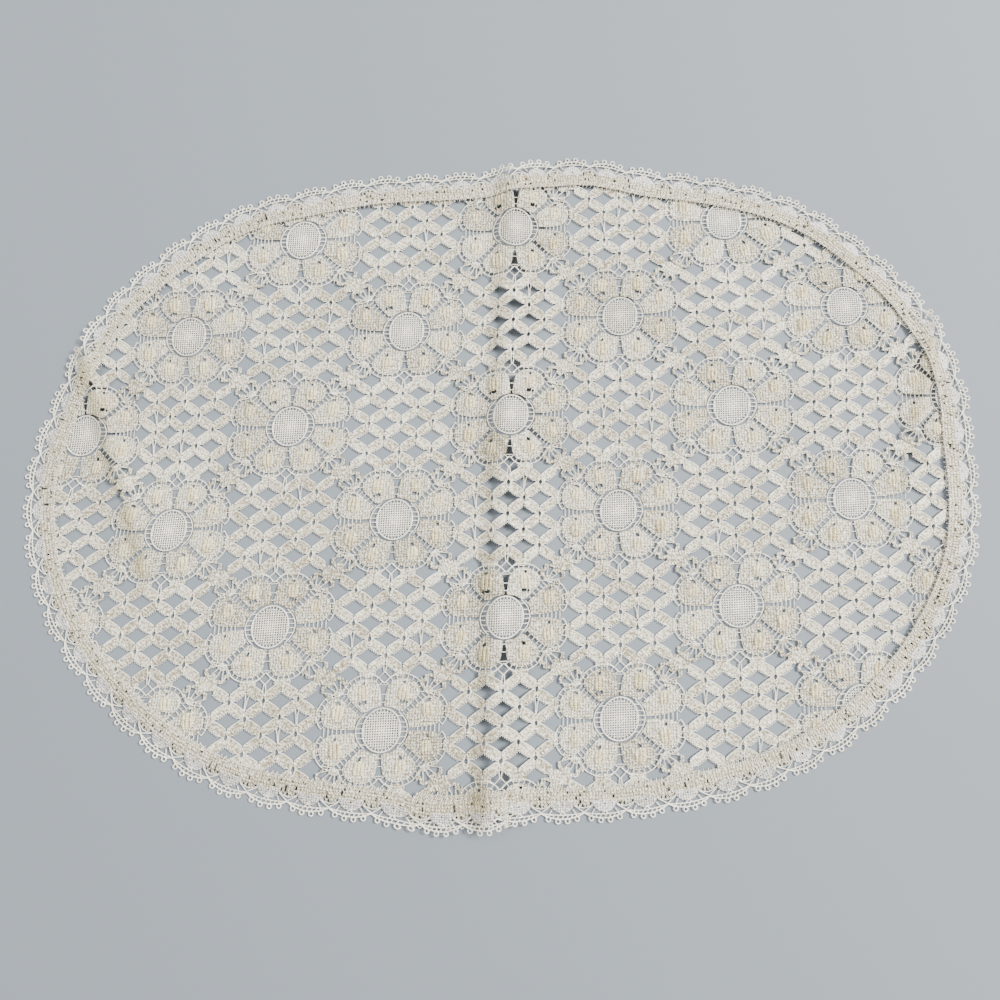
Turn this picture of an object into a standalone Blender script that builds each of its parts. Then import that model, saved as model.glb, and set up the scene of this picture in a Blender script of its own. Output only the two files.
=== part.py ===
"""Oval lace doily, lying flat with the fold it was stored in still showing.

A cut oval of flower lace is the centre panel. A strip of scalloped lace edging is lapped over the
panel's cut edge all the way round and sewn down, and its two ends lap over each other at a join.
The doily's long way is X and its lower face lies on z = 0.
Lengths in this file are millimetres, and become metres where a mesh is written.
"""

import math
from collections import namedtuple

import bmesh
import bpy
import numpy as np

MM = 0.001

# The oval, measured to the tips of the scallops. A squareness of 2 would be a true ellipse.
HALF_LENGTH = 201.3
HALF_WIDTH = 142.8
SQUARENESS = {"right_back": 2.54, "left_back": 2.32, "left_front": 2.31, "right_front": 2.41}

# Where hand lapping let the edge wander: how far it stands out from the oval, by direction.
Wander = namedtuple("Wander", "angle_deg out")
WANDERS = (
    Wander(0, 0.3),
    Wander(7, 2.0),
    Wander(30, -0.8),
    Wander(40, 0.8),
    Wander(60, -1.4),
    Wander(73, 2.5),
    Wander(95, -2.9),
    Wander(118, 0.0),
    Wander(131, 2.5),
    Wander(150, -0.3),
    Wander(165, -3.6),
    Wander(180, 1.8),
    Wander(205, -1.2),
    Wander(225, 1.6),
    Wander(244, -0.9),
    Wander(258, 0.5),
    Wander(270, -1.3),
    Wander(290, 0.6),
    Wander(306, 1.6),
    Wander(335, -2.2),
    Wander(350, -0.3),
)

# The edging strip.
SCALLOPS = 66
SCALLOP_DEPTH = 2.0
STATIONS_PER_SCALLOP = 4
EDGING_WIDTH = 13.6
EDGING_THICKNESS = 1.2
LAP = 5.0
STEP_INNER = 6.0
STEP_OUTER = 8.0
JOIN_ANGLE_DEG = -107.0
JOIN_SCALLOPS = 1
JOIN_BULGE = 1.5

# The centre panel.
PANEL_THICKNESS = 1.2
PANEL_STATIONS = 160
GAP = 0.3

# The flowers stand in rows, each row half a pitch along from the last.
FLOWER_PITCH = 94.9
ROW_RISE = 42.7
ROW_LEAN = 3.3
FIRST_FLOWER = (4.9, 25.2)
ROWS = range(-4, 4)
COLUMNS = range(-4, 4)

# The largest gaps in the lace: a six-sided one each side of every flower.
GAP_FROM_FLOWER = 26.9
GAP_HALF_LENGTH = 4.6
GAP_HALF_FLAT = 2.4
GAP_HALF_WIDTH = 3.2
GAP_TO_EDGING = 2.0

# Folds. Each runs straight from start to end. It runs out through the edge at its start, and where
# fade is given it dies away over that length before its end. The profile is the cloth's height at
# distances across the fold, with the left side of the direction of travel positive.
Fold = namedtuple("Fold", "name start end fade profile")
FOLDS = (
    Fold("centre", (-14.0, -160.0), (13.0, 160.0), 0.0, ((-18, 0.0), (-5, 2.6), (0, 3.8), (3, 2.9), (9, 0.0))),
    Fold("left", (-186.0, 82.0), (-153.0, -30.0), 50.0, ((-11, 0.0), (0, 2.4), (8, 0.0))),
    Fold("right", (193.0, 68.0), (166.0, -25.0), 45.0, ((-8, 0.0), (0, 2.2), (10, 0.0))),
)

CLOTH = {"panel": (0.775, 0.745, 0.665, 1.0), "edging": (0.815, 0.785, 0.700, 1.0)}
CLOTH_ROUGHNESS = 0.92


def wander(angle_deg):
    """How far the edge stands out from the oval in this direction, easing from row to row."""
    turn = angle_deg % 360.0
    rows = WANDERS + (Wander(WANDERS[0].angle_deg + 360, WANDERS[0].out),)
    for row, following in zip(rows, rows[1:]):
        if turn <= following.angle_deg:
            part = (turn - row.angle_deg) / (following.angle_deg - row.angle_deg)
            ease = part * part * (3 - 2 * part)
            return row.out + (following.out - row.out) * ease
    return WANDERS[0].out


def oval_point(angle):
    """The point of the scallop-tip line in this direction from the centre."""
    along, across = math.cos(angle), math.sin(angle)
    side = "right" if along > 0 else "left"
    end = "back" if across > 0 else "front"
    power = SQUARENESS[f"{side}_{end}"]
    reach = (abs(along) / HALF_LENGTH) ** power + (abs(across) / HALF_WIDTH) ** power
    radius = reach ** (-1 / power) + wander(math.degrees(angle))
    return radius * along, radius * across


class TipLine:
    """The line through the scallop tips, walked by length from the join, anticlockwise."""

    STEPS = 1440

    def __init__(self):
        start = math.radians(JOIN_ANGLE_DEG)
        turns = start + np.linspace(0.0, 2 * math.pi, self.STEPS + 1)
        self.points = np.array([oval_point(turn) for turn in turns])
        steps = np.linalg.norm(np.diff(self.points, axis=0), axis=1)
        self.walked = np.concatenate([[0.0], np.cumsum(steps)])
        self.length = self.walked[-1]

    def point(self, walk):
        walk = walk % self.length
        return np.array([np.interp(walk, self.walked, self.points[:, axis]) for axis in (0, 1)])

    def outward(self, walk):
        ahead, behind = self.point(walk + 3.0), self.point(walk - 3.0)
        way = (ahead - behind) / np.linalg.norm(ahead - behind)
        return np.array([way[1], -way[0]])

    def inset(self, walk, inward):
        """The point that lies this far in from the tip line."""
        return self.point(walk) - self.outward(walk) * inward


def fold_axes(fold):
    start, end = np.array(fold.start), np.array(fold.end)
    length = np.linalg.norm(end - start)
    along = (end - start) / length
    across = np.array([-along[1], along[0]])
    return start, along, across, length


def lift(x, y):
    """How high the folds raise the cloth at a point."""
    height = 0.0
    for fold in FOLDS:
        start, along, across, length = fold_axes(fold)
        offset = np.array([x, y]) - start
        distances, heights = zip(*fold.profile)
        rise = np.interp(offset @ across, distances, heights)
        if fold.fade:
            rise *= np.clip((length - offset @ along) / fold.fade, 0.0, 1.0)
        height += rise
    return height


def fold_lines():
    """Every line on which the folds bend the cloth, as a point and the normal of its upright plane."""
    for fold in FOLDS:
        start, along, across, length = fold_axes(fold)
        for distance, _ in fold.profile:
            yield start + across * distance, across
        if fold.fade:
            yield start + along * (length - fold.fade), along
            yield start + along * length, along


def fold_cloth(mesh_data):
    """Cuts a flat mesh along the fold lines and raises it, so that every layer bends on one line."""
    sheet = bmesh.new()
    sheet.from_mesh(mesh_data)
    bmesh.ops.remove_doubles(sheet, verts=sheet.verts, dist=0.01 * MM)
    for point, normal in fold_lines():
        geometry = sheet.verts[:] + sheet.edges[:] + sheet.faces[:]
        bmesh.ops.bisect_plane(
            sheet,
            geom=geometry,
            dist=0.01 * MM,
            plane_co=(point[0] * MM, point[1] * MM, 0.0),
            plane_no=(normal[0], normal[1], 0.0),
        )
    bmesh.ops.triangulate(sheet, faces=sheet.faces[:])
    for vert in sheet.verts:
        vert.co.z += lift(vert.co.x / MM, vert.co.y / MM) * MM
    bmesh.ops.recalc_face_normals(sheet, faces=sheet.faces[:])
    sheet.to_mesh(mesh_data)
    sheet.free()


def cotton(name, colour):
    material = bpy.data.materials.new(name)
    material.use_nodes = True
    shader = material.node_tree.nodes["Principled BSDF"]
    shader.inputs["Base Color"].default_value = colour
    shader.inputs["Roughness"].default_value = CLOTH_ROUGHNESS
    shader.inputs["Metallic"].default_value = 0.0
    return material


def flower_centres():
    for row in ROWS:
        for column in COLUMNS:
            stagger = 0.5 * (row % 2)
            x = FIRST_FLOWER[0] + (column + stagger) * FLOWER_PITCH + row * ROW_LEAN
            yield x, FIRST_FLOWER[1] + row * ROW_RISE


def inside_oval(x, y, inward):
    """Whether a point lies at least this far inside the tip line."""
    tip_x, tip_y = oval_point(math.atan2(y, x))
    return math.hypot(x, y) <= math.hypot(tip_x, tip_y) - inward


def lace_gaps():
    """The six corners of each large gap that lies whole inside the edging."""
    corners = (
        (GAP_HALF_LENGTH, 0.0),
        (GAP_HALF_FLAT, GAP_HALF_WIDTH),
        (-GAP_HALF_FLAT, GAP_HALF_WIDTH),
        (-GAP_HALF_LENGTH, 0.0),
        (-GAP_HALF_FLAT, -GAP_HALF_WIDTH),
        (GAP_HALF_FLAT, -GAP_HALF_WIDTH),
    )
    for x, y in flower_centres():
        for side in (-1, 1):
            gap = [(x + side * GAP_FROM_FLOWER + dx, y + dy) for dx, dy in corners]
            if all(inside_oval(px, py, EDGING_WIDTH + GAP_TO_EDGING) for px, py in gap):
                yield gap


def add_spline(curve, points):
    spline = curve.splines.new("POLY")
    spline.points.add(len(points) - 1)
    for knot, (x, y) in zip(spline.points, points):
        knot.co = (x * MM, y * MM, 0.0, 1.0)
    spline.use_cyclic_u = True


def make_panel(tips, collection):
    """The oval of flower lace: a flat outline with its large gaps, extruded, then folded."""
    curve = bpy.data.curves.new("lace_panel_outline", "CURVE")
    curve.dimensions = "2D"
    curve.fill_mode = "BOTH"
    curve.extrude = PANEL_THICKNESS / 2 * MM
    inset = EDGING_WIDTH - LAP
    walks = np.linspace(0.0, tips.length, PANEL_STATIONS, endpoint=False)
    add_spline(curve, [tips.inset(walk, inset) for walk in walks])
    for gap in lace_gaps():
        add_spline(curve, gap)
    outline = bpy.data.objects.new("lace_panel_outline", curve)
    collection.objects.link(outline)
    outline.location.z = PANEL_THICKNESS / 2 * MM
    bpy.context.view_layer.update()

    evaluated = outline.evaluated_get(bpy.context.evaluated_depsgraph_get())
    mesh = bpy.data.meshes.new_from_object(evaluated)
    mesh.transform(outline.matrix_world)
    bpy.data.objects.remove(outline)
    mesh.name = "lace_panel"
    fold_cloth(mesh)
    panel = bpy.data.objects.new("lace_panel", mesh)
    mesh.materials.clear()
    mesh.materials.append(cotton("panel_cotton", CLOTH["panel"]))
    collection.objects.link(panel)
    return panel


def edging_section(scallop_inset):
    """One cross-section of the strip: (distance in from the tip line, height), once round.

    The outer part lies on the table. The inner part steps up and lies on the panel's edge.
    """
    raised = PANEL_THICKNESS + GAP
    return (
        (scallop_inset, 0.0),
        (STEP_INNER, 0.0),
        (STEP_OUTER, raised),
        (EDGING_WIDTH, raised),
        (EDGING_WIDTH, raised + EDGING_THICKNESS),
        (STEP_OUTER - 0.4, raised + EDGING_THICKNESS),
        (STEP_INNER - 0.4, EDGING_THICKNESS),
        (scallop_inset, EDGING_THICKNESS),
    )


def make_edging(tips, collection):
    """The scalloped strip, lofted once round the panel with its far end laid over its start."""
    round_count = SCALLOPS * STATIONS_PER_SCALLOP
    last = round_count + JOIN_SCALLOPS * STATIONS_PER_SCALLOP
    step = tips.length / round_count
    strip = bmesh.new()
    sections = []
    for station in range(last + 1):
        phase = (station % STATIONS_PER_SCALLOP) / STATIONS_PER_SCALLOP
        scallop_inset = SCALLOP_DEPTH * (1 - math.sin(math.pi * phase))
        on_top = station >= round_count - 1
        rise = EDGING_THICKNESS + GAP if on_top else 0.0
        bulge = JOIN_BULGE if station > round_count else 0.0
        walk = station * step
        ring = []
        for inward, height in edging_section(scallop_inset):
            x, y = tips.inset(walk, inward - bulge)
            ring.append(strip.verts.new((x * MM, y * MM, (height + rise) * MM)))
        sections.append(ring)
    for ring, following in zip(sections, sections[1:]):
        for a, b in zip(range(len(ring)), [*range(1, len(ring)), 0]):
            strip.faces.new((ring[a], ring[b], following[b], following[a]))
    strip.faces.new(sections[0])
    strip.faces.new(reversed(sections[-1]))
    bmesh.ops.recalc_face_normals(strip, faces=strip.faces[:])
    mesh = bpy.data.meshes.new("lace_edging")
    strip.to_mesh(mesh)
    strip.free()
    fold_cloth(mesh)
    edging = bpy.data.objects.new("lace_edging", mesh)
    mesh.materials.append(cotton("edging_cotton", CLOTH["edging"]))
    collection.objects.link(edging)
    return edging


def centre_on_origin(pieces):
    """Moves the whole doily so that the middle of its lower face is the origin."""
    corners = np.array([vert.co for piece in pieces for vert in piece.data.vertices])
    middle = (corners.min(axis=0) + corners.max(axis=0)) / 2
    for piece in pieces:
        for vert in piece.data.vertices:
            vert.co.x -= middle[0]
            vert.co.y -= middle[1]
    print("moved by", middle[:2] / MM, "mm")


for leftover in list(bpy.data.objects):
    bpy.data.objects.remove(leftover)
doily = bpy.data.collections.new("lace_doily")
bpy.context.scene.collection.children.link(doily)
tip_line = TipLine()
made = [make_panel(tip_line, doily), make_edging(tip_line, doily)]
centre_on_origin(made)
for piece in made:
    print(piece.name, len(piece.data.polygons), "faces")
print("edge length", round(tip_line.length, 1), "mm, scallop", round(tip_line.length / SCALLOPS, 2), "mm")
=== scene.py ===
# %% [markdown]
# # An oval lace doily
#
# The real doily is two pieces of machine-made cotton lace. An oval was cut from lace that is
# patterned all over with eight-petalled flowers, and a strip of scalloped edging was lapped over the
# cut edge and sewn down. Lace is cloth with holes in it, so here every hole is a real hole: the dense
# parts are thin solid sheets and the open parts are threads.
#
# The plan is to chart each motif once, flat and in millimetres, lay the motifs out with Geometry
# Nodes, and then bend the whole flat chart onto the doily's own outline and folds.

# %% Load the frame
import math

import bmesh
import bpy
import mathutils
import numpy as np
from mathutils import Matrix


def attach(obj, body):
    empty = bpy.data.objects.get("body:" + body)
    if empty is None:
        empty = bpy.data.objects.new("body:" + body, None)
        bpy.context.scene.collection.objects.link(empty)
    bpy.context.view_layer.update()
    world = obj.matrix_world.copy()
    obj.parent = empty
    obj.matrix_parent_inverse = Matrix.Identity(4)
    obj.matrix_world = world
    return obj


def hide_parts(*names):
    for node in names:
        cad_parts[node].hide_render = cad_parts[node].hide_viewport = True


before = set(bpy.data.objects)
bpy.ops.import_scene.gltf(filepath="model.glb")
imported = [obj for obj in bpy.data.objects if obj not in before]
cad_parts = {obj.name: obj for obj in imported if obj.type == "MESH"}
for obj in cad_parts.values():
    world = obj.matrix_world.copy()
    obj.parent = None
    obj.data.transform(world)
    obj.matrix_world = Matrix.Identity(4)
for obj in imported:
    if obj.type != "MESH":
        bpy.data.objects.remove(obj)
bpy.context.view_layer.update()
MM = 0.001

# %% [markdown]
# ## The flat pattern and the doily's outline
#
# The frame's two solids say where the cloth lies, but not where each thread goes, so the rules that
# shaped them are repeated here in millimetres: the oval of scallop tips, how far the hand-lapped edge
# wanders from it, and the folds. Writing them for whole arrays of points lets a piece with a hundred
# thousand corners be bent in one step.

# %% The oval and how it wanders
HALF_LENGTH, HALF_WIDTH = 201.3, 142.8
SQUARENESS_BACK = (2.54, 2.32)  # right, left
SQUARENESS_FRONT = (2.41, 2.31)
WANDER = (  # direction in degrees, how far outward
    (0, 0.3), (7, 2.0), (30, -0.8), (40, 0.8), (60, -1.4), (73, 2.5), (95, -2.9),
    (118, 0.0), (131, 2.5), (150, -0.3), (165, -3.6), (180, 1.8), (205, -1.2), (225, 1.6),
    (244, -0.9), (258, 0.5), (270, -1.3), (290, 0.6), (306, 1.6), (335, -2.2), (350, -0.3),
)
CENTRE_SHIFT = np.array([0.33, -0.31])  # puts the middle of the finished oval on the origin
SCALLOPS = 66
EDGING_WIDTH = 13.6
LAP = 5.0  # how far the edging covers the panel
JOIN_ANGLE_DEG = -107.0  # where the strip starts and ends


def eased(value):
    """0 below 0, 1 above 1, and a smooth step between."""
    value = np.clip(value, 0.0, 1.0)
    return value * value * (3 - 2 * value)


def wander(angle):
    """How far outside the true oval the scallop tips lie, in each direction."""
    starts, outs = np.array(WANDER + ((360, WANDER[0][1]),), float).T
    turn = np.degrees(angle) % 360.0
    row = np.clip(np.searchsorted(starts, turn, side="right") - 1, 0, len(starts) - 2)
    part = (turn - starts[row]) / (starts[row + 1] - starts[row])
    return outs[row] + (outs[row + 1] - outs[row]) * eased(part)


def tip_radius(angle):
    """Distance from the centre to the scallop tips, in each direction."""
    along, across = np.cos(angle), np.sin(angle)
    back = np.where(along > 0, SQUARENESS_BACK[0], SQUARENESS_BACK[1])
    front = np.where(along > 0, SQUARENESS_FRONT[0], SQUARENESS_FRONT[1])
    power = np.where(across > 0, back, front)
    reach = (np.abs(along) / HALF_LENGTH) ** power + (np.abs(across) / HALF_WIDTH) ** power
    return reach ** (-1 / power) + wander(angle)


# %% Walking along the edge
TIP_STEPS = 1441
turns = math.radians(JOIN_ANGLE_DEG) + np.linspace(0.0, 2 * math.pi, TIP_STEPS)
tips = np.stack([tip_radius(turns) * np.cos(turns), tip_radius(turns) * np.sin(turns)], axis=1)
walked = np.concatenate([[0.0], np.cumsum(np.linalg.norm(np.diff(tips, axis=0), axis=1))])
EDGE_LENGTH = walked[-1]
SCALLOP = EDGE_LENGTH / SCALLOPS


def tip_point(walk):
    """The point on the line of scallop tips, this far round from the join."""
    walk = np.asarray(walk) % EDGE_LENGTH
    return np.stack([np.interp(walk, walked, tips[:, 0]), np.interp(walk, walked, tips[:, 1])], axis=-1)


def edge_inward(walk):
    """The direction that points in from the tips, square to their line."""
    way = tip_point(walk + 3.0) - tip_point(walk - 3.0)
    way /= np.linalg.norm(way, axis=-1, keepdims=True)
    return np.stack([-way[..., 1], way[..., 0]], axis=-1)


cut_line = tips[:-1] + edge_inward(walked[:-1]) * (EDGING_WIDTH - LAP)
cut_angle = np.arctan2(cut_line[:, 1], cut_line[:, 0])
cut_order = np.argsort(cut_angle)
CUT_ANGLE = cut_angle[cut_order]
CUT_RADIUS = np.linalg.norm(cut_line, axis=1)[cut_order]
print(f"edge {EDGE_LENGTH:.0f} mm round, {SCALLOPS} scallops of {SCALLOP:.1f} mm")

# %% [markdown]
# ## Folds
#
# The doily was stored folded across its middle, so a ridge runs from back to front: steep on its left
# and easy on its right. Near each end a soft pucker runs out through the edging. A cloth simulation
# would lose such a set-in crease, so the folds are given as height profiles across a line,
# rounded a little, plus a slow unevenness that keeps the cloth from looking pressed.

# %% Fold heights
FOLDS = (  # start, end, fade length before the end, distances across, heights
    ((-14.0, -160.0), (13.0, 160.0), 0.0, (-18, -5, 0, 3, 9), (0.0, 2.6, 3.8, 2.9, 0.0)),
    ((-186.0, 82.0), (-153.0, -30.0), 50.0, (-11, 0, 8), (0.0, 2.4, 0.0)),
    ((193.0, 68.0), (166.0, -25.0), 45.0, (-8, 0, 10), (0.0, 2.2, 0.0)),
)
FOLD_ROUNDING = (-1.6, -0.8, 0.0, 0.8, 1.6)
UNEVENNESS = 0.22


def lift(x, y):
    """How high the folds raise the cloth at each point."""
    height = np.zeros_like(x)
    for start, end, fade, distances, heights in FOLDS:
        start, end = np.array(start), np.array(end)
        length = np.linalg.norm(end - start)
        along = (end - start) / length
        forward = (x - start[0]) * along[0] + (y - start[1]) * along[1]
        sideways = (y - start[1]) * along[0] - (x - start[0]) * along[1]
        rise = sum(np.interp(sideways + step, distances, heights) for step in FOLD_ROUNDING)
        rise /= len(FOLD_ROUNDING)
        if fade:
            rise = rise * np.clip((length - forward) / fade, 0.0, 1.0)
        height += rise
    slow = np.sin(x / 19.0 + 1.3) * np.sin(y / 15.0 + 0.4) + np.sin((x + y) / 11.0) * 0.5
    return height + UNEVENNESS * (1.0 + slow / 1.5)


# %% [markdown]
# ## From chart to cloth
#
# The lace was woven a little out of square, so the rows of flowers lean, and handling has pulled it
# about. `lay_panel` takes a flat motif mesh through those changes, trims what lies past the cut edge,
# raises the folds and turns millimetres into metres. `lay_edging` does the same for the strip, whose
# chart runs along the scallop tips and inward from them.

# %% How the lace was pulled out of square
LEAN = 0.0773  # how far each row slips sideways for its distance forward
FIRST_FLOWER = np.array([4.3, 25.2])
PULLS = (  # where, how far along and across, reach
    ((-180.0, 24.0), (7.0, 0.0), 26.0),
    ((152.0, -15.0), (2.2, -0.5), 34.0),
    ((150.0, 68.0), (5.4, -0.2), 30.0),
    ((-92.0, -62.0), (-0.6, 0.9), 34.0),
    ((-39.0, 68.0), (0.2, -2.6), 26.0),
    ((50.0, -18.0), (-1.4, -0.6), 26.0),
    ((-134.0, 68.0), (-1.6, -0.4), 28.0),
    ((-84.0, 111.0), (-1.8, 0.0), 26.0),
    ((44.0, -103.0), (-1.2, 0.0), 24.0),
)
SPREAD = 0.0002  # the front of the lace is stretched wider than the back


def pulled(x, y):
    """Where handling has left the points of the flat chart."""
    x, y = x + LEAN * (y - FIRST_FLOWER[1]), y.copy()
    x = x * (1 - SPREAD * (y - 10.0))
    for (at_x, at_y), (move_x, move_y), reach in PULLS:
        weight = np.exp(-((x - at_x) ** 2 + (y - at_y) ** 2) / (2 * reach**2))
        x, y = x + move_x * weight, y + move_y * weight
    return x, y


# %% Lay the panel
def mesh_points(mesh):
    points = np.empty(len(mesh.vertices) * 3)
    mesh.vertices.foreach_get("co", points)
    return points.reshape(-1, 3)


def set_mesh_points(mesh, points):
    mesh.vertices.foreach_set("co", np.ascontiguousarray(points, float).ravel())
    mesh.update()


def past_cut(x, y):
    """How far outside the panel's cut edge each point lies."""
    return np.hypot(x, y) - np.interp(np.arctan2(y, x), CUT_ANGLE, CUT_RADIUS, period=2 * math.pi)


def drop_faces(mesh, outside):
    """Deletes the faces that have every corner outside, and closes the cut ends."""
    work = bmesh.new()
    work.from_mesh(mesh)
    gone = [face for face in work.faces if all(outside[vert.index] for vert in face.verts)]
    bmesh.ops.delete(work, geom=gone, context="FACES")
    bmesh.ops.holes_fill(work, edges=[edge for edge in work.edges if edge.is_boundary], sides=0)
    work.to_mesh(mesh)
    work.free()


PRESSED_HEIGHT = 0.85  # nothing under the edging stands higher than this


def lay_panel(mesh):
    """Bends a flat mesh of the panel's chart onto the doily."""
    points = mesh_points(mesh)
    x, y = pulled(points[:, 0], points[:, 1])
    over = past_cut(x, y)
    shrink = np.where(over > 0, 1 - over / np.maximum(np.hypot(x, y), 1.0), 1.0)
    x, y = x * shrink, y * shrink
    pressed = np.minimum(points[:, 2], PRESSED_HEIGHT)
    z = np.where(over > -LAP - 0.5, pressed, points[:, 2]) + lift(x, y)
    set_mesh_points(mesh, np.stack([x + CENTRE_SHIFT[0], y + CENTRE_SHIFT[1], z], axis=1) * MM)
    drop_faces(mesh, over > 0)


# %% Lay the edging
EDGING_STEP = 1.15  # how far the edging climbs onto the panel's cut edge
JOIN_RAMP = 9.0  # the strip's end climbs over its start within this length
JOIN_RISE, JOIN_BULGE, JOIN_SLIP = 1.1, 1.5, 3.0


def lay_edging(mesh):
    """Bends a mesh of the strip's chart, walk by distance inward, round the edge."""
    points = mesh_points(mesh)
    lapped = eased((points[:, 0] - EDGE_LENGTH + JOIN_RAMP) / JOIN_RAMP)
    walk = points[:, 0] + JOIN_SLIP * lapped
    inward = points[:, 1:2] - JOIN_BULGE * lapped[:, None]
    flat = tip_point(walk) + edge_inward(walk) * inward
    climb = EDGING_STEP * eased((points[:, 1] - 6.0) / 2.2) + JOIN_RISE * lapped
    z = points[:, 2] + climb + lift(flat[:, 0], flat[:, 1])
    set_mesh_points(mesh, np.concatenate([flat + CENTRE_SHIFT, z[:, None]], axis=1) * MM)


# %% [markdown]
# ## Stains, and painted shade by the folds
#
# Old cotton is not one colour: a brown stain has set in the edging. The same yellow brown is also
# painted as shade: a band left of each fold's crest, where the slope faces away from the light, and two
# patches on the puckers. Each point of a finished piece gets a number that says how stained and shaded
# it is, so that both run over cloth and threads alike, whatever piece they belong to.

# %% How stained and shaded each point is
STAIN_AND_PUCKER_SHADE = (  # where, reach along and across, depth; the first is a real stain, the two on the puckers are painted shade
    ((-17.9, -130.3), (5.0, 4.0), 0.42),
    ((183.6, 29.1), (4.5, 9.0), 0.4),
    ((-167.9, 35.1), (4.0, 9.0), 0.2),
)
FOLD_SHADE = ((0.3, 4.5), (0.6, 1.0), (0.3, 1.0))  # depth of the painted shade on each fold's shaded left slope, and how far left of its crest
FOLD_SHADE_REACH = 3.0
FOLD_SHADE_FADE = 20.0  # past the fold's two ends


def add_stains_and_shade(mesh):
    """Stores how stained each point of a laid mesh is, and the painted shade left of each fold's crest."""
    x, y = (mesh_points(mesh)[:, :2] / MM - CENTRE_SHIFT).T
    stain_and_shade = np.zeros_like(x)
    for ((start_x, start_y), (end_x, end_y), *_), (depth, left) in zip(FOLDS, FOLD_SHADE):
        middle = start_x + (y - start_y) * (end_x - start_x) / (end_y - start_y)
        beside = np.exp(-(((x - middle + left) / FOLD_SHADE_REACH) ** 2))
        past_ends = np.maximum(min(start_y, end_y) - y, y - max(start_y, end_y))
        stain_and_shade += depth * beside * (1 - eased(past_ends / FOLD_SHADE_FADE))
    for (at_x, at_y), (reach_x, reach_y), depth in STAIN_AND_PUCKER_SHADE:
        stain_and_shade = stain_and_shade + depth * np.exp(-(((x - at_x) / reach_x) ** 2) - ((y - at_y) / reach_y) ** 2)
    mesh.attributes.new("stain_and_shade", "FLOAT", "POINT").data.foreach_set("value", np.clip(stain_and_shade, 0.0, 1.0))


# %% [markdown]
# ## Tools for motifs
#
# A dense part of lace is a small sheet: a grid of points, with cells left out where the lace has a
# slot, given its thickness by Solidify so that it is closed all round. A thread is a chain of points.
# Threads are collected in one edge mesh, with their thickness kept as an attribute, and one Geometry
# Nodes tree spins all of them into tubes.

# %% Helpers for nodes and objects
def add_node(tree, kind, links=None, values=None, **settings):
    node = tree.nodes.new(kind)
    for name, value in settings.items():
        setattr(node, name, value)
    for socket, value in (values or {}).items():
        node.inputs[socket].default_value = value
    for socket, source in (links or {}).items():
        tree.links.new(source, node.inputs[socket])
    return node


def tree_inputs(tree, sockets):
    """Gives the tree its named inputs, and returns the node that carries them."""
    tree.interface.new_socket("Geometry", in_out="INPUT", socket_type="NodeSocketGeometry")
    for name, kind in sockets.items():
        tree.interface.new_socket(name, in_out="INPUT", socket_type=f"NodeSocket{kind}")
    tree.interface.new_socket("Geometry", in_out="OUTPUT", socket_type="NodeSocketGeometry")
    return tree.nodes.new("NodeGroupInput")


def in_scene(name, data):
    """A new object in the scene, made from a mesh, a light or a camera."""
    thing = bpy.data.objects.new(name, data)
    bpy.context.scene.collection.objects.link(thing)
    return thing


def modified_mesh(holder):
    """The mesh that an object's modifiers make. The object and its own mesh are removed."""
    bpy.context.view_layer.update()
    result = bpy.data.meshes.new_from_object(holder.evaluated_get(bpy.context.evaluated_depsgraph_get()))
    bpy.data.meshes.remove(holder.data)
    return result


def through_tree(name, mesh, tree, settings):
    """Runs a tree on a mesh and returns the result as a plain mesh."""
    holder = in_scene(name, mesh)
    modifier = holder.modifiers.new("nodes", "NODES")
    modifier.node_group = tree
    for item in tree.interface.items_tree:
        if item.in_out == "INPUT" and item.name in settings:
            modifier[item.identifier] = settings[item.name]
    return modified_mesh(holder)


# %% The tree that spins threads
spin = bpy.data.node_groups.new("Spin threads", "GeometryNodeTree")
given = tree_inputs(spin, {"Thread radius": "Float", "Sides": "Int"})
chains = add_node(spin, "GeometryNodeMeshToCurve", {"Mesh": given.outputs["Geometry"]})
ring = add_node(
    spin,
    "GeometryNodeCurvePrimitiveCircle",
    {"Resolution": given.outputs["Sides"], "Radius": given.outputs["Thread radius"]},
)
thickness = add_node(spin, "GeometryNodeInputNamedAttribute", values={"Name": "thickness"}, data_type="FLOAT")
tubes = add_node(
    spin,
    "GeometryNodeCurveToMesh",
    {
        "Curve": chains.outputs["Curve"],
        "Profile Curve": ring.outputs["Curve"],
        "Scale": thickness.outputs["Attribute"],
    },
    values={"Fill Caps": True},
)
add_node(spin, "NodeGroupOutput", {"Geometry": tubes.outputs["Mesh"]})

# %% [markdown]
# ## Laying out motifs
#
# The second tree sets one motif on every point it is given. Each copy is turned and scaled a little
# at random, from a fixed seed, and carries its own random "tint", because no two petals of real lace
# are beaten up or washed exactly alike.

# %% The tree that lays motifs
lay = bpy.data.node_groups.new("Lay motifs", "GeometryNodeTree")
LAY_INPUTS = {"Motif": "Object", "Turn spread": "Float", "Size spread": "Float", "Seed": "Int"}
given = tree_inputs(lay, LAY_INPUTS)
motif = add_node(lay, "GeometryNodeObjectInfo", {"Object": given.outputs["Motif"]})


def spread_about(middle, spread, seed_step):
    """A random value each copy, within the spread on both sides of a middle value."""
    low = add_node(lay, "ShaderNodeMath", {1: given.outputs[spread]}, {0: middle}, operation="SUBTRACT")
    high = add_node(lay, "ShaderNodeMath", {1: given.outputs[spread]}, {0: middle}, operation="ADD")
    seed = add_node(lay, "ShaderNodeMath", {0: given.outputs["Seed"]}, {1: seed_step}, operation="ADD")
    value = add_node(lay, "FunctionNodeRandomValue", data_type="FLOAT")
    lay.links.new(low.outputs[0], value.inputs[2])
    lay.links.new(high.outputs[0], value.inputs[3])
    lay.links.new(seed.outputs[0], value.inputs["Seed"])
    return value.outputs[1]


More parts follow.
